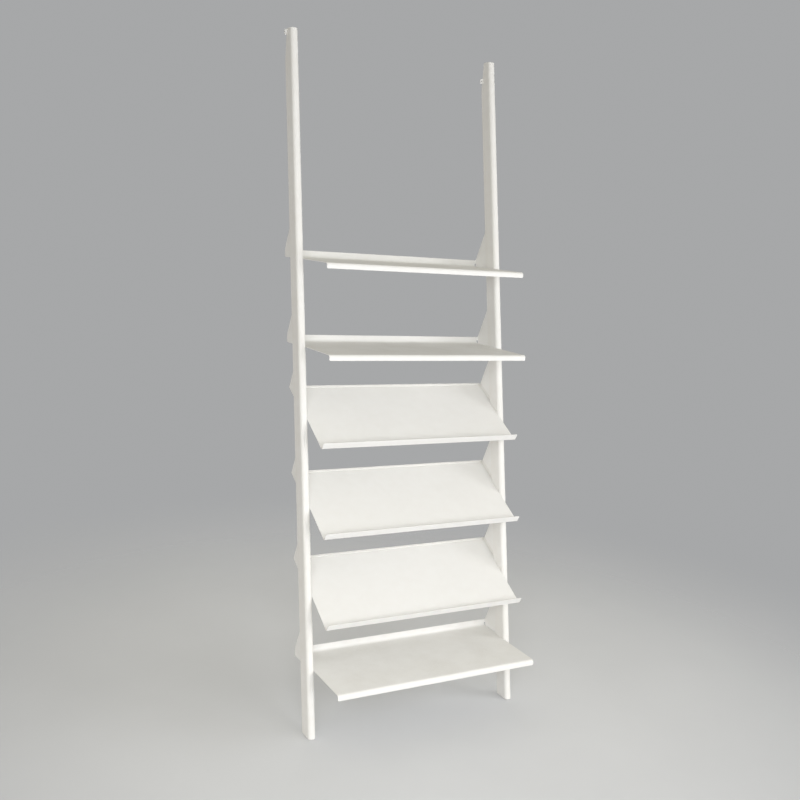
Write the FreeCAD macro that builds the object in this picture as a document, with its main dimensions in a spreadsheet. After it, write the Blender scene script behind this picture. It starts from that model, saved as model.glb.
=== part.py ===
import FreeCAD, Part
import math
import os
import re
import Sketcher

# Leaning wall bookcase: two rails that stand on the floor and lean back against a wall, with six folded
# steel shelves between them. Millimetres and degrees. +X is to the right as one faces the front, +Y runs
# back to the wall and +Z is up. The origin lies on the floor, in the middle of the object's width and depth.

doc = FreeCAD.newDocument("leaning_bookcase")

# Driving dimensions, one row of the sheet each
SIZES = {
    # the whole
    "overall_height": 1840.0,
    "frame_width": 650.0,
    "lean": 11.6,
    "overrun": 5.0,
    # rails
    "rail_width": 21.0,
    "rail_depth": 46.0,
    "rail_front_radius": 8.0,
    "rail_back_radius": 2.5,
    "rail_top_ease": 1.5,
    "wall_cut_height": 90.0,
    # felt pads under the rails
    "pad_thickness": 1.5,
    "pad_inset": 2.5,
    "pad_corner_radius": 5.0,
    # heights of the shelves, each group above the one below it
    "bottom_height": 175.0,
    "slant_clearance": 264.0,
    "upper_clearance": 117.5,
    "shelf_pitch": 228.5,
    # what all shelves share
    "sheet_gauge": 1.5,
    "shelf_play": 0.5,
    # flat shelves
    "flat_depth": 262.0,
    "flat_reach": 117.0,
    "lip_drop": 15.0,
    "lip_corner_radius": 4.0,
    "front_bend_radius": 8.0,
    "back_rise": 18.0,
    "back_bend_radius": 8.0,
    # slanted shelves
    "slant_tilt": 30.0,
    "slant_depth": 247.0,
    "slant_reach": 102.5,
    "slant_lip": 20.0,
    "slant_bend_radius": 2.5,
    "slant_back_rise": 6.0,
    # ears and their screw tabs
    "ear_offset": 8.75,
    "ear_rise": 100.0,
    "slant_ear_rise": 86.0,
    "ear_bend_radius": 3.0,
    "ear_heel_radius": 6.0,
    "ear_tip_radius": 3.0,
    "tab_width": 9.5,
    "tab_end_margin": 8.0,
    "tab_corner_radius": 3.0,
    # shelf screws and the inserts that they go into
    "flat_screw_rise": 22.0,
    "slant_screw_rise": -18.0,
    "screw_spacing": 44.0,
    "screw_diameter": 4.0,
    "screw_length": 15.0,
    "screw_head_diameter": 8.0,
    "screw_head_height": 2.6,
    "screw_head_round": 1.8,
    "socket_flats": 2.5,
    "socket_depth": 1.6,
    "screw_play": 0.4,
    "insert_diameter": 6.5,
    "insert_length": 16.0,
    "insert_bore_depth": 18.0,
    "fit_play": 0.1,
    # wall plates and their screws
    "plate_thickness": 2.0,
    "plate_width": 15.0,
    "plate_top_margin": 2.5,
    "plate_height": 58.0,
    "lug_reach": 6.0,
    "lug_height": 14.0,
    "lug_radius": 3.0,
    "plate_inner_radius": 2.0,
    "wall_hole_diameter": 3.2,
    "plate_screw_diameter": 3.5,
    "plate_screw_head_diameter": 6.6,
    "plate_screw_head_height": 1.6,
    "plate_screw_point": 4.0,
    "plate_screw_length": 18.0,
    "plate_screw_spacing": 16.0,
    "cross_reach": 1.9,
    "cross_width": 0.9,
    "cross_depth": 1.2,
}

# Sizes that follow from those above
WORKED = {
    "slant_height": "bottom_height + slant_clearance",
    "upper_height": "slant_height + 2 * shelf_pitch + upper_clearance",
    "lean_run": "tan(lean * 1deg)",
    "rail_run": "rail_depth / cos(lean * 1deg)",
    "half_clear": "frame_width / 2 - rail_width",
    "rail_middle": "frame_width / 2 - rail_width / 2",
    "rail_length": "overall_height / cos(lean * 1deg)",
    "wall_cut_rise": "(overall_height - wall_cut_height + rail_depth * sin(lean * 1deg)) / cos(lean * 1deg)",
    "flat_overhang": "flat_depth - flat_reach",
    "front_face": "bottom_height * lean_run - flat_overhang",
    "wall_face": "(overall_height - wall_cut_height) * lean_run + rail_run",
    "rail_start": "-(front_face + wall_face + plate_thickness) / 2",
    "ear_outer": "half_clear + ear_offset",
    "sheet_half": "half_clear - shelf_play",
    "flange_half": "ear_outer - ear_bend_radius - sheet_gauge",
    "flat_front": "-(rail_run + flat_overhang)",
    "flat_back": "flat_reach - rail_run",
    "slant_back": "slant_reach - rail_run",
    "tab_screw_x": "ear_outer + tab_width / 2",
    "socket_corner": "socket_flats / sqrt(3)",
    "insert_bore": "screw_diameter + 2 * fit_play",
    "plate_screw_hole": "plate_screw_diameter + 2 * fit_play",
    "lug_tip": "rail_width / 2 + lug_reach",
    "lug_middle": "rail_width / 2 + lug_reach / 2",
    "top_depth": "wall_face * cos(lean * 1deg) - overall_height * sin(lean * 1deg)",
    "top_along": "wall_face * sin(lean * 1deg) + overall_height * cos(lean * 1deg)",
    "plate_middle": "plate_top_margin + plate_height / 2",
    "ear_back": "flat_back - ear_bend_radius - sheet_gauge",
    "flat_top": "back_rise + ear_rise",
    "ear_slope": "ear_rise / (flat_back - sheet_gauge - flat_top * lean_run)",
    "ear_shoulder": "back_rise + ear_bend_radius * ear_slope",
    "slant_run": "tan((lean + slant_tilt) * 1deg)",
    "slant_edge": "slant_back * cos(slant_tilt * 1deg)",
    "slant_deck": "-slant_back * sin(slant_tilt * 1deg) - slant_back_rise",
    "slant_front": "slant_edge - slant_depth",
    "slant_top": "slant_ear_rise / cos(lean * 1deg) * cos((lean + slant_tilt) * 1deg)",
    "slant_heel": "slant_deck + ear_bend_radius",
}


def fill_sheet(name, rows):
    """One sheet with a name in the first column and its value, with the same alias, in the second."""
    sheet = doc.addObject("Spreadsheet::Sheet", name)
    for row, (alias, content) in enumerate(rows.items(), start=1):
        sheet.set(f"A{row}", alias)
        sheet.set(f"B{row}", content)
        sheet.setAlias(f"B{row}", alias)
    return sheet


def in_sheets(text):
    """The expression with each size named by its sheet."""
    def with_sheet(match):
        word = match.group(0)
        if word in SIZES:
            return "sizes." + word
        return "worked." + word if word in WORKED else word
    return re.sub(r"[a-z_]+", with_sheet, text)


sizes = fill_sheet("sizes", {alias: str(number) for alias, number in SIZES.items()})
worked = fill_sheet("worked", {alias: "=" + in_sheets(text) for alias, text in WORKED.items()})
doc.recompute()


def value(text):
    """What an expression comes to."""
    return float(sizes.evalExpression(in_sheets(text)))


# Ways of drawing and cutting that every piece uses


def new_body(label, x="0", y="0", z="0", turn="0"):
    """A body placed at x, y, z and turned about X, all by expressions."""
    body = doc.addObject("PartDesign::Body", label)
    body.Placement = FreeCAD.Placement(FreeCAD.Vector(), FreeCAD.Rotation(FreeCAD.Vector(1, 0, 0), 1))
    for axis, text in (("x", x), ("y", y), ("z", z)):
        body.setExpression(f"Placement.Base.{axis}", in_sheets(text))
    body.setExpression("Placement.Rotation.Angle", f"({in_sheets(turn)}) * 1deg")
    return body


def origin_plane(body, role):
    return next(part for part in body.Origin.OriginFeatures if part.Role == role)


def new_sketch(body, role, name, offset="0", along="0", turn="0"):
    """A sketch on an origin plane, moved off it by offset, along its own Y, and turned about its own X."""
    sketch = body.newObject("Sketcher::SketchObject", f"{body.Label}_{name}")
    sketch.AttachmentSupport = [(origin_plane(body, role), "")]
    sketch.MapMode = "FlatFace"
    sketch.AttachmentOffset = FreeCAD.Placement(
        FreeCAD.Vector(), FreeCAD.Rotation(FreeCAD.Vector(1, 0, 0), 1))
    sketch.setExpression("AttachmentOffset.Base.z", in_sheets(offset))
    sketch.setExpression("AttachmentOffset.Base.y", in_sheets(along))
    sketch.setExpression("AttachmentOffset.Rotation.Angle", f"({in_sheets(turn)}) * 1deg")
    return sketch


def bind(sketch, constraint, text):
    """A dimension of the sketch, tied to an expression."""
    index = sketch.addConstraint(constraint)
    sketch.setExpression(f"Constraints[{index}]", in_sheets(text))


def pin_point(sketch, geometry, end, across, up):
    """Ties a point to its two distances from the sketch's origin."""
    bind(sketch, Sketcher.Constraint("DistanceX", -1, 1, geometry, end, value(across)), across)
    bind(sketch, Sketcher.Constraint("DistanceY", -1, 1, geometry, end, value(up)), up)


def outline(sketch, corners):
    """A closed outline through corners (across, up) or, where one is rounded, (across, up, radius)."""
    count = len(corners)
    points = [FreeCAD.Vector(value(corner[0]), value(corner[1]), 0) for corner in corners]
    radii = [value(corner[2]) if len(corner) > 2 else 0 for corner in corners]
    arrive, leave, arcs = [], [], []
    for i, point in enumerate(points):
        before = (points[i - 1] - point).normalize()
        after = (points[(i + 1) % count] - point).normalize()
        half = before.getAngle(after) / 2
        setback = radii[i] / math.tan(half)
        arrive.append(point + before * setback)
        leave.append(point + after * setback)
        middle = point + (before + after).normalize() * (radii[i] / math.sin(half)) if radii[i] else None
        turns_left = before.cross(after).z < 0
        arcs.append((middle, turns_left))
    lines = [sketch.addGeometry(Part.LineSegment(leave[i], arrive[(i + 1) % count])) for i in range(count)]
    for i, corner in enumerate(corners):
        line_in, line_out = lines[i - 1], lines[i]
        if not radii[i]:
            sketch.addConstraint(Sketcher.Constraint("Coincident", line_in, 2, line_out, 1))
            pin_point(sketch, line_out, 1, corner[0], corner[1])
            continue
        middle, turns_left = arcs[i]
        first, last = (arrive[i], leave[i]) if turns_left else (leave[i], arrive[i])
        angles = [math.atan2(end.y - middle.y, end.x - middle.x) for end in (first, last)]
        circle = Part.Circle(middle, FreeCAD.Vector(0, 0, 1), radii[i])
        arc = sketch.addGeometry(Part.ArcOfCircle(circle, angles[0], angles[1]))
        arrives, leaves = (1, 2) if turns_left else (2, 1)
        sketch.addConstraint(Sketcher.Constraint("Tangent", line_in, 2, arc, arrives))
        sketch.addConstraint(Sketcher.Constraint("Tangent", arc, leaves, line_out, 1))
        bind(sketch, Sketcher.Constraint("Radius", arc, radii[i]), corner[2])
        sharp = sketch.addGeometry(Part.Point(points[i]), True)
        sketch.addConstraint(Sketcher.Constraint("PointOnObject", sharp, 1, line_in))
        sketch.addConstraint(Sketcher.Constraint("PointOnObject", sharp, 1, line_out))
        pin_point(sketch, sharp, 1, corner[0], corner[1])


def ring(sketch, across, up, diameter):
    """A circle about a point."""
    centre = FreeCAD.Vector(value(across), value(up), 0)
    circle = sketch.addGeometry(Part.Circle(centre, FreeCAD.Vector(0, 0, 1), value(diameter) / 2))
    pin_point(sketch, circle, 3, across, up)
    bind(sketch, Sketcher.Constraint("Diameter", circle, value(diameter)), diameter)


def extrude(kind, sketch, length, symmetric=False, reverse=False):
    """A Pad or Pocket of the sketch, over a length bound to an expression."""
    body = sketch.getParentGeoFeatureGroup()
    feature = body.newObject(f"PartDesign::{kind}", f"{sketch.Label}_{kind.lower()}")
    feature.Profile = sketch
    feature.SideType = "Symmetric" if symmetric else "One side"
    feature.Reversed = reverse
    feature.setExpression("Length", in_sheets(length))
    return feature


def cut(sketch, length, symmetric=False, reverse=False):
    """A Pocket that has to take something away."""
    body = sketch.getParentGeoFeatureGroup()
    doc.recompute()
    before = body.Tip.Shape.Volume
    pocket = extrude("Pocket", sketch, length, symmetric, reverse)
    doc.recompute()
    if not pocket.Shape.Volume < before:
        raise RuntimeError(f"{pocket.Label} cuts nothing")
    return pocket


def spin(sketch, kind="Revolution"):
    """A full turn of the sketch about its own X axis, added or, as a Groove, taken away."""
    body = sketch.getParentGeoFeatureGroup()
    feature = body.newObject(f"PartDesign::{kind}", f"{sketch.Label}_{kind.lower()}")
    feature.Profile = sketch
    feature.ReferenceAxis = (sketch, ["H_Axis"])
    feature.Angle = 360
    return feature


def mirror(body, features):
    """The same features on the other side of the body's YZ plane."""
    feature = body.newObject("PartDesign::Mirrored", f"{body.Label}_mirrored")
    feature.Originals = features
    feature.MirrorPlane = (origin_plane(body, "YZ_Plane"), [""])
    body.Tip = feature
    return feature


def round_edges(body, name, radius, wanted):
    """A Fillet on the edges of the body, so far, that the test accepts."""
    doc.recompute()
    base = body.Tip
    names = [f"Edge{i}" for i, edge in enumerate(base.Shape.Edges, start=1) if wanted(edge)]
    if not names:
        raise RuntimeError(f"{body.Label}: no edge for {name}")
    fillet = body.newObject("PartDesign::Fillet", f"{body.Label}_{name}")
    fillet.Base = (base, names)
    fillet.setExpression("Radius", in_sheets(radius))
    return fillet


def near(first, second):
    return math.isclose(first, second, abs_tol=1e-4)


SIDES = {"left": -1, "right": 1}

# Height of each shelf, a flat one's at its deck and a slanted one's at its back edge
FLAT_SHELVES = {
    "bottom_flat": "bottom_height",
    "upper_flat": "upper_height",
    "top_flat": "upper_height + shelf_pitch",
}
SLANTED_SHELVES = {
    "lower_slanted": "slant_height",
    "middle_slanted": "slant_height + shelf_pitch",
    "upper_slanted": "slant_height + 2 * shelf_pitch",
}


def shelf_screws():
    """Each shelf's name, its height and how far along the rail from there its two screw rows sit."""
    for shelves, rise in ((FLAT_SHELVES, "flat_screw_rise"), (SLANTED_SHELVES, "slant_screw_rise")):
        for shelf, height in shelves.items():
            yield shelf, height, (rise, f"{rise} + screw_spacing")


# Rails: hardwood, leaning, with a level foot, a level top and an upright cut where they meet the wall


def along_rail(height):
    """Distance along the rail, from its start, of the point on its back face at a height."""
    return f"({height} + rail_depth * sin(lean * 1deg)) / cos(lean * 1deg)"


def screw_places():
    """Each shelf screw's place along the rail."""
    for _, height, rows in shelf_screws():
        for row in rows:
            yield f"{along_rail(height)} + {row}"


def rail(name, side):
    body = new_body(f"{name}_rail", f"{side} * rail_middle", "rail_start", "0", "-lean")
    section = new_sketch(body, "XY_Plane", "section")
    outline(section, [
        ("-rail_width / 2", "0", "rail_front_radius"),
        ("rail_width / 2", "0", "rail_front_radius"),
        ("rail_width / 2", "rail_depth", "rail_back_radius"),
        ("-rail_width / 2", "rail_depth", "rail_back_radius"),
    ])
    extrude("Pad", section, "rail_length + rail_depth * lean_run")
    far = "rail_depth + overrun"
    over_top = "rail_length + rail_depth * lean_run + overrun"
    foot = "pad_thickness / cos(lean * 1deg)"
    ends = new_sketch(body, "YZ_Plane", "ends")
    outline(ends, [
        ("-overrun", "-overrun"),
        (far, "-overrun"),
        (far, f"{foot} + ({far}) * lean_run"),
        ("-overrun", f"{foot} - overrun * lean_run"),
    ])
    outline(ends, [
        ("-overrun", "rail_length - overrun * lean_run"),
        (far, f"rail_length + ({far}) * lean_run"),
        (far, f"rail_length + ({far}) * lean_run + overrun"),
        ("-overrun", f"rail_length + ({far}) * lean_run + overrun"),
    ])
    cut(ends, "2 * rail_width", symmetric=True)
    wall_side = new_sketch(body, "YZ_Plane", "wall_side")
    outline(wall_side, [
        ("rail_depth + overrun * lean_run", "wall_cut_rise - overrun"),
        (f"rail_depth - ({over_top} - wall_cut_rise) * lean_run", over_top),
        ("rail_depth + 2 * overrun", over_top),
        ("rail_depth + 2 * overrun", "wall_cut_rise - overrun"),
    ])
    cut(wall_side, "2 * rail_width", symmetric=True)
    bores = new_sketch(body, "XZ_Plane", "insert_bores", offset="-rail_depth")
    for place in screw_places():
        ring(bores, f"{side} * (tab_screw_x - rail_middle)", place, "insert_diameter + 2 * fit_play")
    cut(bores, "insert_bore_depth", reverse=True)
    pilots = new_sketch(body, "XZ_Plane", "plate_pilots", "-top_depth", "top_along", "lean")
    for place in plate_screw_places():
        ring(pilots, "0", place, "plate_screw_hole")
    cut(pilots, "plate_screw_length", reverse=True)
    round_edges(body, "top_ease", "rail_top_ease", on_rail_top)


def on_rail_top(edge):
    return all(near(end.Z - end.Y * value("lean_run"), value("rail_length")) for end in edge.Vertexes)


def plate_screw_places():
    """Heights of a wall plate's two screws below the top of the rail."""
    for step in (-1, 1):
        yield f"-plate_middle + {step} * plate_screw_spacing / 2"


for name, side in SIDES.items():
    rail(name, side)

# Felt pads under the feet


def foot_pad(name, side):
    body = new_body(f"{name}_foot_pad", f"{side} * rail_middle", "rail_start + pad_thickness * lean_run")
    sole = new_sketch(body, "XY_Plane", "sole")
    half = "rail_width / 2 - pad_inset"
    outline(sole, [
        (f"-({half})", "pad_inset", "pad_corner_radius"),
        (half, "pad_inset", "pad_corner_radius"),
        (half, "rail_run - pad_inset", "pad_corner_radius"),
        (f"-({half})", "rail_run - pad_inset", "pad_corner_radius"),
    ])
    extrude("Pad", sole, "pad_thickness")


for name, side in SIDES.items():
    foot_pad(name, side)

# Shelves: one sheet of steel each, folded. A body's origin is where the shelf's own height meets the back
# faces of the rails, and a slanted one is turned so that its deck lies along the body's Y.


def shelf_body(shelf, height, turn="0"):
    return new_body(f"{shelf}_shelf", "0", f"rail_start + ({height}) * lean_run + rail_run", height, turn)


def rail_notch(body, front, low, high, run):
    """Takes the sheet away beside the rails, as far back as their back faces."""
    sketch = new_sketch(body, "YZ_Plane", "rail_notch", "sheet_half")
    outline(sketch, [
        (f"{front} - overrun", f"{low} - overrun"),
        (f"({low} - overrun) * {run} + shelf_play", f"{low} - overrun"),
        (f"({high} + overrun) * {run} + shelf_play", f"{high} + overrun"),
        (f"{front} - overrun", f"{high} + overrun"),
    ])
    return cut(sketch, "ear_outer", reverse=True)


def screw_tab(body, rise, turn):
    """The ear's front edge, folded outwards flat on the back face of the rail, which leans by turn."""
    across, up = f"cos(({turn}) * 1deg)", f"sin(({turn}) * 1deg)"
    low, high = f"({rise} - tab_end_margin)", f"({rise} + screw_spacing + tab_end_margin)"
    sketch = new_sketch(body, "YZ_Plane", "tab", "ear_outer - sheet_gauge")
    outline(sketch, [
        (f"{low} * {up}", f"{low} * {across}"),
        (f"{low} * {up} + sheet_gauge * {across}", f"{low} * {across} - sheet_gauge * {up}"),
        (f"{high} * {up} + sheet_gauge * {across}", f"{high} * {across} - sheet_gauge * {up}"),
        (f"{high} * {up}", f"{high} * {across}"),
    ])
    return extrude("Pad", sketch, "tab_width + sheet_gauge")


def tab_holes(body, rise, turn):
    """The screw holes through a tab, square to the back face of the rail."""
    sketch = new_sketch(body, "XZ_Plane", "tab_holes", turn=f"-({turn})")
    for row in (rise, f"{rise} + screw_spacing"):
        ring(sketch, "tab_screw_x", row, "screw_diameter + screw_play")
    return cut(sketch, "4 * sheet_gauge", symmetric=True)


def round_corners(body, lip_edge):
    """Rounds the free corners of the screw tabs and of the front lip, whose free edge is at lip_edge."""
    gauge, tab_x = value("sheet_gauge"), value("ear_outer + tab_width")
    lip_x, lip_z = value("sheet_half"), value(lip_edge)
    round_edges(body, "tab_corners", "tab_corner_radius", lambda edge: near(edge.Length, gauge) and all(
        near(abs(end.X), tab_x) for end in edge.Vertexes))
    round_edges(body, "lip_corners", "lip_corner_radius", lambda edge: near(edge.Length, gauge) and all(
        near(abs(end.X), lip_x) and near(end.Z, lip_z) for end in edge.Vertexes))


def flat_shelf(shelf, height):
    """Front lip folded down, back flange folded up, and its ends folded forwards into ears."""
    body = shelf_body(shelf, height)
    section = new_sketch(body, "YZ_Plane", "section")
    outline(section, [
        ("flat_front", "-lip_drop"),
        ("flat_front", "0", "front_bend_radius"),
        ("flat_back - sheet_gauge", "0", "back_bend_radius"),
        ("flat_back - sheet_gauge", "back_rise"),
        ("flat_back", "back_rise"),
        ("flat_back", "-sheet_gauge", "back_bend_radius + sheet_gauge"),
        ("flat_front + sheet_gauge", "-sheet_gauge", "front_bend_radius - sheet_gauge"),
        ("flat_front + sheet_gauge", "-lip_drop"),
    ])
    extrude("Pad", section, "2 * flange_half", symmetric=True)
    corner = new_sketch(body, "XY_Plane", "ear_bend", "back_bend_radius")
    outline(corner, [
        ("flange_half - overrun", "flat_back"),
        ("ear_outer", "flat_back", "ear_bend_radius + sheet_gauge"),
        ("ear_outer", "ear_back - overrun"),
        ("ear_outer - sheet_gauge", "ear_back - overrun"),
        ("ear_outer - sheet_gauge", "flat_back - sheet_gauge", "ear_bend_radius"),
        ("flange_half - overrun", "flat_back - sheet_gauge"),
    ])
    bend = extrude("Pad", corner, "ear_shoulder - back_bend_radius")
    over = new_sketch(body, "YZ_Plane", "above_bend", "flange_half - 2 * overrun")
    outline(over, [
        ("flat_back + overrun", "back_rise"),
        ("flat_back - sheet_gauge", "back_rise"),
        ("ear_back - overrun", "ear_shoulder + overrun * ear_slope"),
        ("flat_back + overrun", "ear_shoulder + overrun * ear_slope"),
    ])
    shoulder = cut(over, "ear_outer", reverse=True)
    side = new_sketch(body, "YZ_Plane", "ear", "ear_outer - sheet_gauge")
    outline(side, [
        ("-sheet_gauge * lean_run", "-sheet_gauge"),
        ("ear_back", "-sheet_gauge", "ear_heel_radius"),
        ("ear_back", "ear_shoulder"),
        ("flat_top * lean_run", "flat_top", "ear_tip_radius"),
    ])
    ear = extrude("Pad", side, "sheet_gauge")
    notch = rail_notch(body, "flat_front", "-lip_drop", "flat_top", "lean_run")
    tab = screw_tab(body, "flat_screw_rise", "lean")
    holes = tab_holes(body, "flat_screw_rise", "lean")
    mirror(body, [bend, shoulder, ear, notch, tab, holes])
    round_corners(body, "-lip_drop")


def slanted_shelf(shelf, height):
    """Front lip and a low back flange folded up, and ears folded up from the deck behind the rails."""
    body = shelf_body(shelf, height, "slant_tilt")
    section = new_sketch(body, "YZ_Plane", "section")
    outer_bend = "slant_bend_radius + sheet_gauge"
    outline(section, [
        ("slant_front", "slant_deck + slant_lip"),
        ("slant_front", "slant_deck - sheet_gauge", outer_bend),
        ("slant_edge", "slant_deck - sheet_gauge", outer_bend),
        ("slant_edge", "slant_deck + slant_back_rise"),
        ("slant_edge - sheet_gauge", "slant_deck + slant_back_rise"),
        ("slant_edge - sheet_gauge", "slant_deck", "slant_bend_radius"),
        ("slant_front + sheet_gauge", "slant_deck", "slant_bend_radius"),
        ("slant_front + sheet_gauge", "slant_deck + slant_lip"),
    ])
    extrude("Pad", section, "2 * flange_half", symmetric=True)
    corner = new_sketch(body, "XZ_Plane", "ear_bend", "-slant_edge")
    outline(corner, [
        ("flange_half - overrun", "slant_deck - sheet_gauge"),
        ("ear_outer", "slant_deck - sheet_gauge", "ear_bend_radius + sheet_gauge"),
        ("ear_outer", "slant_deck + slant_back_rise"),
        ("ear_outer - sheet_gauge", "slant_deck + slant_back_rise"),
        ("ear_outer - sheet_gauge", "slant_deck", "ear_bend_radius"),
        ("flange_half - overrun", "slant_deck"),
    ])
    bend = extrude("Pad", corner, "slant_edge - slant_deck * slant_run + overrun")
    side = new_sketch(body, "YZ_Plane", "ear", "ear_outer - sheet_gauge")
    outline(side, [
        ("slant_heel * slant_run", "slant_heel"),
        ("slant_edge", "slant_heel"),
        ("slant_edge", "slant_deck + slant_back_rise"),
        ("slant_top * slant_run", "slant_top", "ear_tip_radius"),
    ])
    ear = extrude("Pad", side, "sheet_gauge")
    notch = rail_notch(body, "slant_front", "slant_deck", "slant_top", "slant_run")
    tab = screw_tab(body, "slant_screw_rise", "lean + slant_tilt")
    holes = tab_holes(body, "slant_screw_rise", "lean + slant_tilt")
    mirror(body, [bend, ear, notch, tab, holes])
    round_corners(body, "slant_deck + slant_lip")


for shelf, height in FLAT_SHELVES.items():
    flat_shelf(shelf, height)
for shelf, height in SLANTED_SHELVES.items():
    slanted_shelf(shelf, height)

# Threaded inserts in the rails, and the pan head screws that hold the shelves' tabs to them


def inserts(name, side):
    body = new_body(f"{name}_rail_inserts", f"{side} * rail_middle", "rail_start", "0", "-lean")
    rings = new_sketch(body, "XZ_Plane", "rings", "-rail_depth")
    for place in screw_places():
        for diameter in ("insert_diameter", "insert_bore"):
            ring(rings, f"{side} * (tab_screw_x - rail_middle)", place, diameter)
    extrude("Pad", rings, "insert_length")


def shelf_screw_set(shelf, height, rows):
    back = f"rail_start + ({height}) * lean_run + rail_run"
    body = new_body(f"{shelf}_screws", "0", back, height, "-lean")
    for name, side in SIDES.items():
        for number, row in enumerate(rows, start=1):
            half = new_sketch(body, "YZ_Plane", f"{name}_{number}", f"{side} * tab_screw_x", row)
            outline(half, [
                ("sheet_gauge - screw_length", "0"),
                ("sheet_gauge + screw_head_height", "0"),
                ("sheet_gauge + screw_head_height", "screw_head_diameter / 2", "screw_head_round"),
                ("sheet_gauge", "screw_head_diameter / 2"),
                ("sheet_gauge", "screw_diameter / 2"),
                ("sheet_gauge - screw_length", "screw_diameter / 2"),
            ])
            spin(half)
    sockets = new_sketch(body, "XZ_Plane", "sockets", "-(sheet_gauge + screw_head_height)")
    for side in SIDES.values():
        for row in rows:
            hexagon(sockets, f"{side} * tab_screw_x", row)
    cut(sockets, "socket_depth", reverse=True)


def hexagon(sketch, across, up):
    """The six-sided outline of a socket about a point, with a corner at either side."""
    outline(sketch, [(f"{across} + {reach} * socket_corner", f"({up}) + {flat} * socket_flats / 2")
                     for reach, flat in ((1, 0), (0.5, 1), (-0.5, 1), (-1, 0), (-0.5, -1), (0.5, -1))])


def cross(sketch, up):
    """The outline of a cross recess on the middle line, with arms of one width."""
    reach, width = "cross_reach", "cross_width / 2"
    outline(sketch, [(f"{x} * {across}", f"({up}) + {z} * {rise}") for x, across, z, rise in (
        (1, reach, -1, width), (1, reach, 1, width), (1, width, 1, width), (1, width, 1, reach),
        (-1, width, 1, reach), (-1, width, 1, width), (-1, reach, 1, width), (-1, reach, -1, width),
        (-1, width, -1, width), (-1, width, -1, reach), (1, width, -1, reach), (1, width, -1, width))])


for name, side in SIDES.items():
    inserts(name, side)
for shelf, height, rows in shelf_screws():
    shelf_screw_set(shelf, height, rows)

# Wall plates: flat steel on the upright cut behind the top of each rail, with a lug at either side for the
# wall screws, the outer one above and the inner one below


def wall_plate(name, side):
    body = new_body(f"{name}_wall_plate", f"{side} * rail_middle", "rail_start + wall_face", "overall_height")
    low = "-plate_top_margin - plate_height"
    outer, inner = f"{side} * lug_tip", f"{-side} * lug_tip"
    outer_side, inner_side = f"{side} * plate_width / 2", f"{-side} * plate_width / 2"
    face = new_sketch(body, "XZ_Plane", "face")
    outline(face, [
        (inner_side, "-plate_top_margin", "plate_inner_radius"),
        (outer, "-plate_top_margin", "lug_radius"),
        (outer, "-plate_top_margin - lug_height", "lug_radius"),
        (outer_side, "-plate_top_margin - lug_height", "plate_inner_radius"),
        (outer_side, low, "plate_inner_radius"),
        (inner, low, "lug_radius"),
        (inner, f"{low} + lug_height", "lug_radius"),
        (inner_side, f"{low} + lug_height", "plate_inner_radius"),
    ])
    extrude("Pad", face, "plate_thickness", reverse=True)
    holes = new_sketch(body, "XZ_Plane", "holes")
    ring(holes, f"{side} * lug_middle", "-plate_top_margin - lug_height / 2", "wall_hole_diameter")
    ring(holes, f"{-side} * lug_middle", f"{low} + lug_height / 2", "wall_hole_diameter")
    for place in plate_screw_places():
        ring(holes, "0", place, "plate_screw_hole")
    cut(holes, "plate_thickness")
    for number, place in enumerate(plate_screw_places(), start=1):
        cone = new_sketch(body, "YZ_Plane", f"countersink_{number}", along=place)
        outline(cone, [
            ("plate_thickness - plate_screw_head_height", "0"),
            ("plate_thickness", "0"),
            ("plate_thickness", "plate_screw_head_diameter / 2 + fit_play"),
            ("plate_thickness - plate_screw_head_height", "plate_screw_hole / 2"),
        ])
        spin(cone, "Groove")


def plate_screw_set(name, side):
    body = new_body(f"{name}_wall_plate_screws", f"{side} * rail_middle", "rail_start + wall_face",
                    "overall_height")
    for number, place in enumerate(plate_screw_places(), start=1):
        half = new_sketch(body, "YZ_Plane", f"screw_{number}", along=place)
        outline(half, [
            ("plate_thickness - plate_screw_length", "0"),
            ("plate_thickness", "0"),
            ("plate_thickness", "plate_screw_head_diameter / 2"),
            ("plate_thickness - plate_screw_head_height", "plate_screw_diameter / 2"),
            ("plate_thickness - plate_screw_length + plate_screw_point", "plate_screw_diameter / 2"),
        ])
        spin(half)
    recesses = new_sketch(body, "XZ_Plane", "recesses", "-plate_thickness")
    for place in plate_screw_places():
        cross(recesses, place)
    cut(recesses, "cross_depth", reverse=True)


for name, side in SIDES.items():
    wall_plate(name, side)
    plate_screw_set(name, side)

# Every feature has to have come out, and every piece has to be sound, before anything is written
doc.recompute()
failed = [item.Label for item in doc.Objects if {"Invalid", "Error"} & set(item.State)]
bodies = [item for item in doc.Objects if item.isDerivedFrom("PartDesign::Body")]
failed += [body.Label for body in bodies if body.Shape.isNull() or not body.Shape.isValid()]
if failed:
    raise RuntimeError(f"not sound: {failed}")

os.makedirs("parts", exist_ok=True)
for body in bodies:
    body.Shape.exportStep(f"parts/{body.Label}.step")
    print(body.Label, len(body.Shape.Solids), round(body.Shape.Volume, 1))
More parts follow.
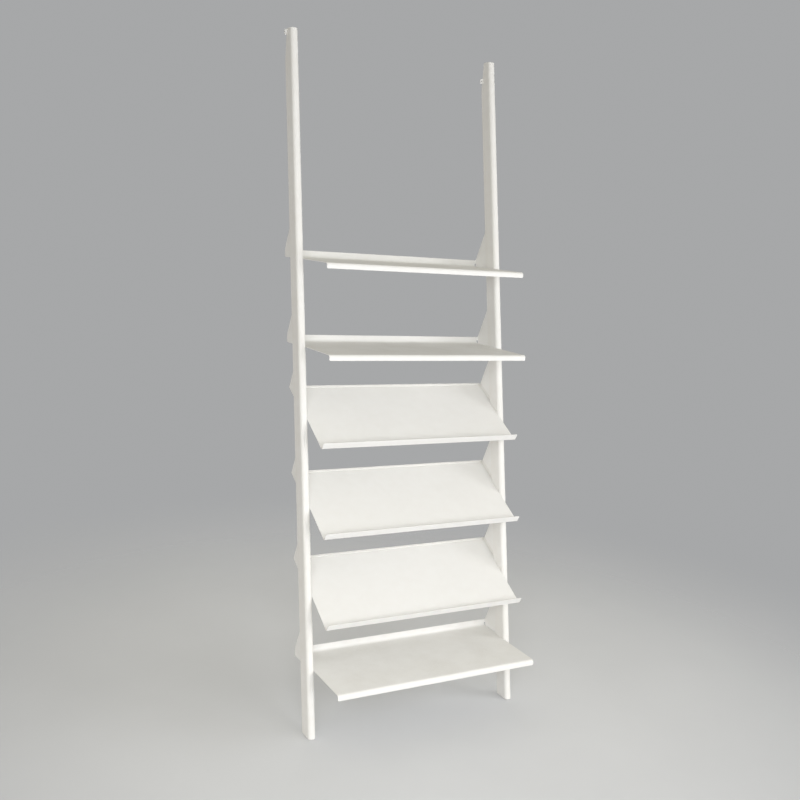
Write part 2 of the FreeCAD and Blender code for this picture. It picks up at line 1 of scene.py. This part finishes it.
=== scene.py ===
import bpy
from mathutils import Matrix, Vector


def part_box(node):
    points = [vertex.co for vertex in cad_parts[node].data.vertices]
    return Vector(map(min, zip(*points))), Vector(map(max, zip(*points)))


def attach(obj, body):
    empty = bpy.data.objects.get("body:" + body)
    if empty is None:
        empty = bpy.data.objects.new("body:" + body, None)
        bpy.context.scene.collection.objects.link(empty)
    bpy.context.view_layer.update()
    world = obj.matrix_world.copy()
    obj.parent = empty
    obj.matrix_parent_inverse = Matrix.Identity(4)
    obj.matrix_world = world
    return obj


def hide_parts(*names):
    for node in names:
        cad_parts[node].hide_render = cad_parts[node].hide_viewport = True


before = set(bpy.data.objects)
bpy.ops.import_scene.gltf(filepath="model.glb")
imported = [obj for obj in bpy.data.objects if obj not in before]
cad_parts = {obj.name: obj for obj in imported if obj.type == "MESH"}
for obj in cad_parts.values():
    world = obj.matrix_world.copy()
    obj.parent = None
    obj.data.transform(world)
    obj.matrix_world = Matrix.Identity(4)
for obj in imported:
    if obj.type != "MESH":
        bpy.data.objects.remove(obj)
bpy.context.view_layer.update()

import math

import bpy
import numpy as np
from mathutils import Matrix, Vector

# Rails: two strips of planed hardwood with round front edges, which lean back from the floor to the wall.
# They are sprayed with satin white paint, so that the grain shows only as a faint ripple along them.

rail_lean = math.radians(11.6)
rail_white = (0.850, 0.842, 0.822, 1)
rail_cream = (0.818, 0.804, 0.774, 1)
rail_dull, rail_shiny = 0.5, 0.38
rail_peel_scale = 620.0
rail_peel_depth = 0.00004
grain_size = (0.0035, 0.0035, 0.26)
grain_lift = 1.6
grain_shade = 0.3
rail_dust = 0.12
# The grey of dust, which also serves as the colour of painted shade in the folds and on the flat decks.
dust_and_shade_grey = (0.56, 0.535, 0.48, 1)
peel_strength = 0.3
paint_specular = 0.35


def place(tree, kind, sockets=(), **settings):
    """A shader node with its settings, and each named socket either linked or set to a constant."""
    node = tree.nodes.new("ShaderNode" + kind)
    for name, setting in settings.items():
        setattr(node, name, setting)
    for name, given in dict(sockets).items():
        if isinstance(given, bpy.types.NodeSocket):
            tree.links.new(given, node.inputs[name])
        else:
            node.inputs[name].default_value = given
    return node


def new_group(name, inputs, outputs):
    """An empty node group with its named sockets, and the sockets of its own input and output nodes."""
    tree = bpy.data.node_groups.new(name, "ShaderNodeTree")
    for label, kind in inputs.items():
        tree.interface.new_socket(label, in_out="INPUT", socket_type="NodeSocket" + kind)
    for label, kind in outputs.items():
        tree.interface.new_socket(label, in_out="OUTPUT", socket_type="NodeSocket" + kind)
    return tree, tree.nodes.new("NodeGroupInput").outputs, tree.nodes.new("NodeGroupOutput").inputs


def spread(tree, given, low, high, to_low=0.0, to_high=1.0, **settings):
    """The value, carried from one range to another and kept inside it."""
    ranges = {"From Min": low, "From Max": high, "To Min": to_low, "To Max": to_high}
    return place(tree, "MapRange", {"Value": given, **ranges}, **settings).outputs[0]


def reckon(tree, operation, first, second):
    """The sum, product or other result of two values."""
    return place(tree, "Math", {0: first, 1: second}, operation=operation).outputs[0]


def noise(tree, where, scale, detail=2.0, roughness=0.5, distortion=0.0):
    """Cloudy noise over a place, about 0.5 on average."""
    kind = {"Scale": scale, "Detail": detail, "Roughness": roughness, "Distortion": distortion}
    return place(tree, "TexNoise", {"Vector": where, **kind}).outputs[0]


def blend(tree, share, first, second):
    """A colour between two others."""
    return place(tree, "Mix", {0: share, 6: first, 7: second}, data_type="RGBA").outputs[2]


def emboss(tree, shader, height, depth, strength, **base):
    """Gives the surface a fine relief that follows a height, over its own normal or another one."""
    relief = place(tree, "Bump", {"Height": height, "Distance": depth, "Strength": strength, **base})
    tree.links.new(relief.outputs[0], shader["Normal"])


def paint_film():
    """Sprayed paint: slow drifts between two tones, fine orange peel, and patches that shine a bit more."""
    tree, given, made = new_group(
        "paint_film",
        {"Vector": "Vector", "Tone": "Color", "Drift": "Color", "Peel Scale": "Float", "Dull": "Float",
         "Shiny": "Float"},
        {"Color": "Color", "Roughness": "Float", "Height": "Float"})
    where = given["Vector"]
    broad = noise(tree, where, scale=3.2, detail=3.0)
    small = noise(tree, where, scale=41.0)
    drift = spread(tree, reckon(tree, "ADD", broad, small), 0.72, 1.28)
    rubbed = noise(tree, where, scale=17.0, detail=4.0, distortion=0.6)
    peel = noise(tree, where, given["Peel Scale"], detail=1.5, roughness=0.45)
    tree.links.new(blend(tree, drift, given["Tone"], given["Drift"]), made["Color"])
    tree.links.new(spread(tree, rubbed, 0.3, 0.7, given["Dull"], given["Shiny"]), made["Roughness"])
    tree.links.new(peel, made["Height"])
    return tree


def settled_dust_and_shade():
    """Up-facing veil, thicker in soft patches and specks: a mask for dust, and for painted shade where
    heavy.
    """
    tree, given, made = new_group("settled_dust_and_shade", {"Vector": "Vector", "Amount": "Float"}, {"Dust and Shade": "Float"})
    facing = place(tree, "SeparateXYZ", {0: place(tree, "NewGeometry").outputs["Normal"]}).outputs["Z"]
    lying = spread(tree, facing, 0.55, 0.98)
    clouds = noise(tree, given["Vector"], scale=9.0, detail=5.0, roughness=0.6)
    patches = spread(tree, clouds, 0.38, 0.72, to_low=0.25)
    grit = noise(tree, given["Vector"], scale=420.0, detail=1.0)
    specks = spread(tree, grit, 0.4, 0.75, to_low=0.6)
    veil = reckon(tree, "MULTIPLY", reckon(tree, "MULTIPLY", patches, specks), lying)
    tree.links.new(reckon(tree, "MULTIPLY", veil, given["Amount"]), made["Dust and Shade"])
    return tree


def new_material(name):
    """A material with only a Principled BSDF on its output, and the place that its patterns lie on."""
    material = bpy.data.materials.new(name)
    material.use_nodes = True
    tree = material.node_tree
    tree.nodes.clear()
    shader = place(tree, "BsdfPrincipled")
    tree.links.new(shader.outputs[0], place(tree, "OutputMaterial").inputs[0])
    return material, tree, shader.inputs, place(tree, "TexCoord").outputs["Object"]


def give(material, *names):
    """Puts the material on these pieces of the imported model, in place of their plain ones."""
    for name in names:
        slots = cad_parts[name].data.materials
        slots.clear()
        slots.append(material)


paint_group, dust_and_shade_group = paint_film(), settled_dust_and_shade()


def painted_wood():
    """Paint film over grain: ripples along the leaning rail lift the film and shade it slightly."""
    material, tree, shader, where = new_material("painted_wood")
    paint = {"Tone": rail_white, "Drift": rail_cream, "Peel Scale": rail_peel_scale, "Dull": rail_dull,
             "Shiny": rail_shiny}
    film = place(tree, "Group", {"Vector": where, **paint}, node_tree=paint_group).outputs
    dust_and_shade = place(tree, "Group", {"Vector": where, "Amount": rail_dust}, node_tree=dust_and_shade_group).outputs[0]
    fibres = place(tree, "Mapping", {"Vector": where, "Rotation": (-rail_lean, 0, 0), "Scale": grain_size},
                   vector_type="TEXTURE").outputs[0]
    ripple = noise(tree, fibres, scale=1.0, detail=3.0, roughness=0.55, distortion=0.2)
    shade = spread(tree, ripple, 0.5, 0.8, to_high=grain_shade)
    shaded = blend(tree, shade, film["Color"], rail_cream)
    tree.links.new(blend(tree, dust_and_shade, shaded, dust_and_shade_grey), shader["Base Color"])
    tree.links.new(film["Roughness"], shader["Roughness"])
    height = reckon(tree, "ADD", film["Height"], reckon(tree, "MULTIPLY", ripple, grain_lift))
    emboss(tree, shader, height, rail_peel_depth, peel_strength)
    shader["Specular IOR Level"].default_value = paint_specular
    return material


give(painted_wood(), "left_rail", "right_rail")

# Foot pads: pressed wool felt, cut a little smaller than the rail's foot and glued under it.
# The weight of the bookcase rolls their cut rim into a soft bulge.

felt_grey = (0.41, 0.39, 0.36, 1)
felt_fleck = (0.27, 0.255, 0.235, 1)
felt_crush = (1.0, 1.0, 3.0)
felt_depth = 0.0003
felt_strength = 0.7
felt_sheen = 0.35
pad_corner = 0.005
pad_side_share = 0.25
pad_ripples, pad_ripple_depth = 23, 0.03


def ring_walls(count, around):
    """Four-sided faces from each of a stack of rings to the next, facing outwards where the rings go up."""
    first = np.arange(around)
    after = (first + 1) % around
    level = np.arange(count - 1)[:, None] * around
    walls = np.stack([level + first, level + after, level + around + after, level + around + first], -1)
    return walls.reshape(-1, 4).tolist()


def ring_fan(middle, ring):
    """Three-sided faces from a middle point to each point of a ring and the one after it."""
    return np.stack([np.full(len(ring), middle), ring, np.roll(ring, -1)], -1).tolist()


def new_piece(name, points, faces):
    """An object at the origin, whose mesh has these points and faces."""
    mesh = bpy.data.meshes.new(name)
    mesh.from_pydata(points.tolist(), [], faces)
    piece = bpy.data.objects.new(name, mesh)
    bpy.context.scene.collection.objects.link(piece)
    return piece


def pressed_pad(name, low, high, around=128, across=9, inner=6):
    """Closed felt pad. The outline at turn u is a rectangle with round corners, whose straight sides run
    where the cosine or sine of u is under the side share. At height share s from -1 to 1 the rim stands
    in by thickness / 2 * (1 - sqrt(1 - s * s)), so that the cut edge bulges. The faces run on from the
    rim to the middle in rings, with slow ripples on them."""
    half = (high - low) / 2
    middle = (high + low) / 2
    turn = np.linspace(0, 2 * np.pi, around, endpoint=False)
    outward = np.stack([np.cos(turn), np.sin(turn)], -1)
    corner_middle = np.clip(outward / pad_side_share, -1, 1) * (half[:2] - pad_corner)
    outline = corner_middle + pad_corner * outward
    rise = np.sin(np.linspace(-np.pi / 2, np.pi / 2, across))
    bulge = half[2] * (1 - np.sqrt(np.clip(1 - rise ** 2, 0, 1)))
    rim = outline[None] - bulge[:, None, None] * outward[None]
    height = np.broadcast_to((rise * half[2])[:, None, None], rim.shape[:2] + (1,))
    rim = np.concatenate([rim, height], -1)
    shrink = np.linspace(0, 1, inner + 1)[1:-1, None, None] * [1, 1, 0] + [0, 0, 1]
    under, over = rim[0] * shrink, rim[-1] * shrink[::-1]
    ripple = 1 - pad_ripple_depth * np.sin(turn * pad_ripples) ** 2
    under[..., 2] *= ripple
    over[..., 2] *= ripple
    rings = np.concatenate([under, rim, over])
    points = np.concatenate([rings.reshape(-1, 3), [[0, 0, -half[2]], [0, 0, half[2]]]]) + middle
    lowest_ring = np.arange(around)
    highest_ring = lowest_ring + (len(rings) - 1) * around
    base_middle, lid_middle = len(points) - 2, len(points) - 1
    base, lid = ring_fan(base_middle, lowest_ring[::-1]), ring_fan(lid_middle, highest_ring)
    pad = new_piece(name, points, ring_walls(len(rings), around) + base + lid)
    pad.data.shade_smooth()
    return pad


def wool_felt():
    """Matted fibres: two noises, one crushed flat, over a grey with darker flecks, with a soft sheen."""
    material, tree, shader, where = new_material("wool_felt")
    flat = place(tree, "Mapping", {"Vector": where, "Scale": felt_crush}).outputs[0]
    fibres = noise(tree, flat, scale=1900.0, detail=4.0, roughness=0.65, distortion=1.2)
    tufts = noise(tree, where, scale=330.0, detail=3.0)
    flecks = spread(tree, fibres, 0.42, 0.66)
    tree.links.new(blend(tree, flecks, felt_grey, felt_fleck), shader["Base Color"])
    tree.links.new(spread(tree, tufts, 0.3, 0.7, to_low=0.88), shader["Roughness"])
    emboss(tree, shader, reckon(tree, "ADD", fibres, tufts), felt_depth, felt_strength)
    shader["Sheen Weight"].default_value = felt_sheen
    return material


felt = wool_felt()
for pad_name in ("left_foot_pad", "right_foot_pad"):
    pad_low, pad_high = (np.array(corner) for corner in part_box(pad_name))
    pad = pressed_pad(pad_name + "_felt", pad_low, pad_high)
    pad.data.materials.append(felt)
    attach(pad, "root")
    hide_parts(pad_name)

# Threaded inserts: turned brass sleeves, driven flush into bores in the backs of the rails.
# The shelves' tabs lie over them, so that none shows once the shelves are screwed on.

brass_bright = (0.72, 0.53, 0.25, 1)
brass_dull = (0.46, 0.33, 0.16, 1)
turning_depth = 0.00004
turning_strength = 0.5


def turned_brass():
    """Fine turning marks with brown tarnish in patches, rougher where it is dull."""
    material, tree, shader, where = new_material("turned_brass")
    patches = noise(tree, where, scale=260.0, detail=4.0, roughness=0.6)
    tarnish = spread(tree, patches, 0.4, 0.68)
    tree.links.new(blend(tree, tarnish, brass_bright, brass_dull), shader["Base Color"])
    tree.links.new(spread(tree, tarnish, 0.0, 1.0, to_low=0.26, to_high=0.5), shader["Roughness"])
    emboss(tree, shader, noise(tree, where, scale=2600.0), turning_depth, turning_strength)
    shader["Metallic"].default_value = 1.0
    return material


give(turned_brass(), "left_rail_inserts", "right_rail_inserts")

# Flat shelves: one sheet of steel each, with a front lip folded down, a back flange folded up and its ends
# folded forwards into ears. They are powder coated after folding and screwed to the backs of the rails.

coat_white = (0.866, 0.861, 0.845, 1)
coat_drift = (0.846, 0.838, 0.818, 1)
coat_edge = (0.79, 0.78, 0.755, 1)
coat_edge_share = 0.35
coat_edge_radius = 0.0006
coat_peel_scale = 850.0
coat_peel_depth = 0.00003
dust_dullness = 0.6
# How far the painted shade reaches from an inside fold.
fold_shade_reach = 0.012


def eased_edge():
    """Where a coat runs over an edge: the rounded normal there, and a mask that is 1 on the edge itself."""
    tree, given, made = new_group("eased_edge", {"Radius": "Float"}, {"Normal": "Vector", "Edge": "Float"})
    rounded = place(tree, "Bevel", {"Radius": given["Radius"]}, samples=6).outputs[0]
    flat = place(tree, "NewGeometry").outputs["Normal"]
    along = place(tree, "VectorMath", {0: rounded, 1: flat}, operation="DOT_PRODUCT").outputs["Value"]
    tree.links.new(rounded, made["Normal"])
    tree.links.new(spread(tree, reckon(tree, "SUBTRACT", 1.0, along), 0.02, 0.25), made["Edge"])
    return tree


def painted_fold_shade():
    """Painted shade in an inside fold: a mask that grows where the sheet's own faces close in on a spot."""
    tree, given, made = new_group("painted_fold_shade", {"Reach": "Float", "Amount": "Float"}, {"Dust and Shade": "Float"})
    around = place(tree, "AmbientOcclusion", {"Distance": given["Reach"]}, samples=8, only_local=True)
    fold_shade_mask = spread(tree, around.outputs["AO"], 0.9, 0.5)
    tree.links.new(reckon(tree, "MULTIPLY", fold_shade_mask, given["Amount"]), made["Dust and Shade"])
    return tree


edge_group, painted_fold_shade_group = eased_edge(), painted_fold_shade()


def powder_coat(name, dust_and_shade_amount, fold_shade_amount, dull, shiny):
    """Baked powder: fine peel, greyer thin edges, dust and painted shade on top, painted shade in the folds.
    """
    material, tree, shader, where = new_material(name)
    paint = {"Tone": coat_white, "Drift": coat_drift, "Peel Scale": coat_peel_scale, "Dull": dull,
             "Shiny": shiny}
    film = place(tree, "Group", {"Vector": where, **paint}, node_tree=paint_group).outputs
    edge = place(tree, "Group", {"Radius": coat_edge_radius}, node_tree=edge_group).outputs
    dust_and_shade = place(tree, "Group", {"Vector": where, "Amount": dust_and_shade_amount}, node_tree=dust_and_shade_group).outputs[0]
    fold_shade = place(tree, "Group", {"Reach": fold_shade_reach, "Amount": fold_shade_amount},
                   node_tree=painted_fold_shade_group).outputs[0]
    thin = reckon(tree, "MULTIPLY", edge["Edge"], coat_edge_share)
    dusted_and_shaded = blend(tree, dust_and_shade, blend(tree, thin, film["Color"], coat_edge), dust_and_shade_grey)
    # Painted shade in the inside folds, in the grey of the dust.
    tree.links.new(blend(tree, fold_shade, dusted_and_shaded, dust_and_shade_grey), shader["Base Color"])
    matt = reckon(tree, "ADD", film["Roughness"], reckon(tree, "MULTIPLY", dust_and_shade, dust_dullness))
    tree.links.new(matt, shader["Roughness"])
    emboss(tree, shader, film["Height"], coat_peel_depth, peel_strength, Normal=edge["Normal"])
    shader["Specular IOR Level"].default_value = paint_specular
    return material


# The flat shelves' decks take a heavy up-facing veil, partly dust and partly painted shade on the decks.
give(powder_coat("flat_shelf_coat", dust_and_shade_amount=0.32, fold_shade_amount=0.02, dull=0.5, shiny=0.4),
     "bottom_flat_shelf", "upper_flat_shelf", "top_flat_shelf")

# Slanted shelves: sheets of the same steel that slope down to a lip, which keeps a magazine from sliding.
# Their ears are folded up from the deck behind the rails, and they are coated and fixed as the flat ones.

# The slanted shelves take strong painted shade in their inside folds, which darkens the back flange and the
# deck beside it.
give(powder_coat("slanted_shelf_coat", dust_and_shade_amount=0.05, fold_shade_amount=0.6, dull=0.52, shiny=0.42),
     "lower_slanted_shelf", "middle_slanted_shelf", "upper_slanted_shelf")

# Shelf screws: pan head machine screws with a hexagon socket, zinc plated, four to a shelf.
# They hold the shelves' tabs to the inserts in the rails.

zinc_light = (0.66, 0.67, 0.68, 1)
zinc_dark = (0.5, 0.51, 0.53, 1)
zinc_line_scale = (3200.0, 400.0, 3200.0)
zinc_line_depth = 0.00003
zinc_line_strength = 0.4
zinc_edge_radius = 0.0002


def zinc_plate():
    """Plating that clouds in small patches, with fine drawn lines and a duller, rougher bloom."""
    material, tree, shader, where = new_material("zinc_plate")
    clouds = noise(tree, where, scale=480.0, detail=4.0, roughness=0.6, distortion=0.4)
    bloom = spread(tree, clouds, 0.38, 0.66)
    drawn = place(tree, "Mapping", {"Vector": where, "Scale": zinc_line_scale}).outputs[0]
    edge = place(tree, "Group", {"Radius": zinc_edge_radius}, node_tree=edge_group).outputs
    tree.links.new(blend(tree, bloom, zinc_light, zinc_dark), shader["Base Color"])
    tree.links.new(spread(tree, bloom, 0.0, 1.0, to_low=0.24, to_high=0.42), shader["Roughness"])
    emboss(tree, shader, noise(tree, drawn, scale=1.0), zinc_line_depth, zinc_line_strength,
           Normal=edge["Normal"])
    shader["Metallic"].default_value = 1.0
    return material


zinc = zinc_plate()
give(zinc, "bottom_flat_screws", "lower_slanted_screws", "middle_slanted_screws", "upper_slanted_screws",
     "upper_flat_screws", "top_flat_screws")

# Wall plates: flat steel behind the tops of the rails, powder coated, with a lug at either side for the
# wall screws. Two countersunk zinc plated screws fix each one to its rail.

give(powder_coat("wall_plate_coat", dust_and_shade_amount=0.05, fold_shade_amount=0.05, dull=0.52, shiny=0.42),
     "left_wall_plate", "right_wall_plate")
give(zinc, "left_wall_plate_screws", "right_wall_plate_screws")

# Floor and backdrop: a plain pale floor that fades out into an even grey all round, so that no horizon
# shows. The sky behind it gives a soft light, most of it from above, with some from the left and from
# behind, as in a room with pale walls.

backdrop_grey = (0.385, 0.39, 0.395, 1)
floor_grey = (0.70, 0.71, 0.73, 1)
floor_tint = (0.67, 0.68, 0.70, 1)
floor_roughness = 0.9
floor_specular = 0.1
floor_reach = 9.0
lit_fade, seen_fade = (0.5, 3.4), (0.3, 2.2)


def round_floor(reach, around=96, rings=24):
    """A flat disc: ring r of n lies at reach * (1 - r / n), and the last one closes on the middle."""
    turn = np.linspace(0, 2 * np.pi, around, endpoint=False)
    far = reach * np.arange(rings, 0, -1)[:, None] / rings
    grid = np.stack([far * np.cos(turn), far * np.sin(turn), np.zeros((rings, around))], -1)
    points = np.concatenate([grid.reshape(-1, 3), np.zeros((1, 3))])
    innermost_ring = np.arange(around) + (rings - 1) * around
    lid = ring_fan(len(points) - 1, innermost_ring)
    return new_piece("floor", points, ring_walls(rings, around) + lid)


def rays_that_see(tree):
    """1 on rays that carry the view, straight, mirrored or through something clear, and 0 on light."""
    rays = place(tree, "LightPath").outputs
    straight_or_mirrored = reckon(tree, "MAXIMUM", rays["Is Camera Ray"], rays["Is Glossy Ray"])
    return reckon(tree, "MAXIMUM", straight_or_mirrored, rays["Is Transmission Ray"])


def pale_floor():
    """Matt pale grey that fades to clear between two distances from the middle of the floor. Both are
    shorter for rays that see than for light."""
    material, tree, shader, where = new_material("pale_floor")
    far = place(tree, "VectorMath", {0: where}, operation="LENGTH").outputs["Value"]
    seeing = rays_that_see(tree)
    near_edge, far_edge = (spread(tree, seeing, 0.0, 1.0, lit, seen)
                           for lit, seen in zip(lit_fade, seen_fade))
    fade = spread(tree, far, near_edge, far_edge, to_low=1.0, to_high=0.0, interpolation_type="SMOOTHSTEP")
    tint = spread(tree, noise(tree, where, scale=2.0, detail=4.0), 0.3, 0.7)
    tree.links.new(fade, shader["Alpha"])
    tree.links.new(blend(tree, tint, floor_grey, floor_tint), shader["Base Color"])
    shader["Roughness"].default_value = floor_roughness
    shader["Specular IOR Level"].default_value = floor_specular
    return material


floor = round_floor(floor_reach)
floor.data.materials.append(pale_floor())

sky_warmth = (1.0, 0.965, 0.85, 1)
left_back_top = (-1, 1, 1)
light_from_left_back_top = (0.08, 0.18, 0.67)
world = bpy.data.worlds.new("studio")
bpy.context.scene.world = world
world.use_nodes = True
sky = world.node_tree
sky.nodes.clear()
ray = place(sky, "TexCoord").outputs["Generated"]
facing = place(sky, "VectorMath", {0: ray, 1: left_back_top}, operation="MULTIPLY").outputs[0]
towards = place(sky, "VectorMath", {0: facing, 1: (0, 0, 0)}, operation="MAXIMUM").outputs[0]
glow = place(sky, "VectorMath", {0: towards, 1: light_from_left_back_top},
             operation="DOT_PRODUCT").outputs["Value"]
lit_sky = place(sky, "Background", {"Color": sky_warmth, "Strength": glow}).outputs[0]
seen_sky = place(sky, "Background", {"Color": backdrop_grey, "Strength": 1.0}).outputs[0]
whole_sky = place(sky, "MixShader", {0: rays_that_see(sky), 1: lit_sky, 2: seen_sky}).outputs[0]
sky.links.new(whole_sky, place(sky, "OutputWorld").inputs[0])

# Lights: wide soft lamps. One in front stands level with the middle of the bookcase, with a higher one on
# either side of it. A weak warm one far to the left lifts the rails' sides, and a low one lights the backs.


def soft_lamp(name, spot, aim_height, width, watts, tint):
    """A square area lamp at a spot, turned to face a point at a height above the middle of the floor."""
    lamp = bpy.data.lights.new(name, "AREA")
    lamp.size, lamp.energy, lamp.color = width, watts, tint
    holder = bpy.data.objects.new(name, lamp)
    bpy.context.scene.collection.objects.link(holder)
    away = Vector(spot) - Vector((0, 0, aim_height))
    holder.matrix_world = Matrix.Translation(spot) @ away.to_track_quat("Z", "Y").to_matrix().to_4x4()
    holder.visible_camera = False


soft_lamp("front_lamp", spot=(0.8, -3.5, 0.95), aim_height=0.9,
          width=1.6, watts=40.5, tint=(1.0, 0.985, 0.98))
soft_lamp("front_left_lamp", spot=(-1.6, -2.6, 1.5), aim_height=0.7,
          width=1.2, watts=41.0, tint=(0.96, 0.985, 1.0))
soft_lamp("right_lamp", spot=(2.9, -2.0, 1.6), aim_height=1.1,
          width=2.0, watts=45.0, tint=(1.0, 1.0, 1.0))
soft_lamp("left_lamp", spot=(-3.1, -1.2, 0.6), aim_height=0.6,
          width=1.6, watts=16.0, tint=(1.0, 0.92, 0.87))
soft_lamp("back_lamp", spot=(1.2, 3.4, 0.5), aim_height=0.9,
          width=1.4, watts=27.0, tint=(0.95, 0.98, 1.0))

# Camera: stands to the left of the front, a little higher than the top shelf, and looks a little down, so
# that the flat shelves show their decks. It is tipped a little to one side, as the photograph is.

camera_spot = (-1.3493, -2.3019, 1.33795)
camera_turn = math.radians(-29.59)
camera_dip = math.radians(9.8826)
camera_tip = math.radians(4.2367)
focal_length, film_width = 44.1035, 36.0
lens = bpy.data.cameras.new("camera")
lens.lens, lens.sensor_width = focal_length, film_width
camera = bpy.data.objects.new("camera", lens)
bpy.context.scene.collection.objects.link(camera)
turned = Matrix.Rotation(camera_turn, 4, "Z") @ Matrix.Rotation(math.pi / 2 - camera_dip, 4, "X")
camera.matrix_world = Matrix.Translation(camera_spot) @ turned @ Matrix.Rotation(camera_tip, 4, "Z")
bpy.context.scene.camera = camera
bpy.context.scene.view_settings.view_transform = "Standard"
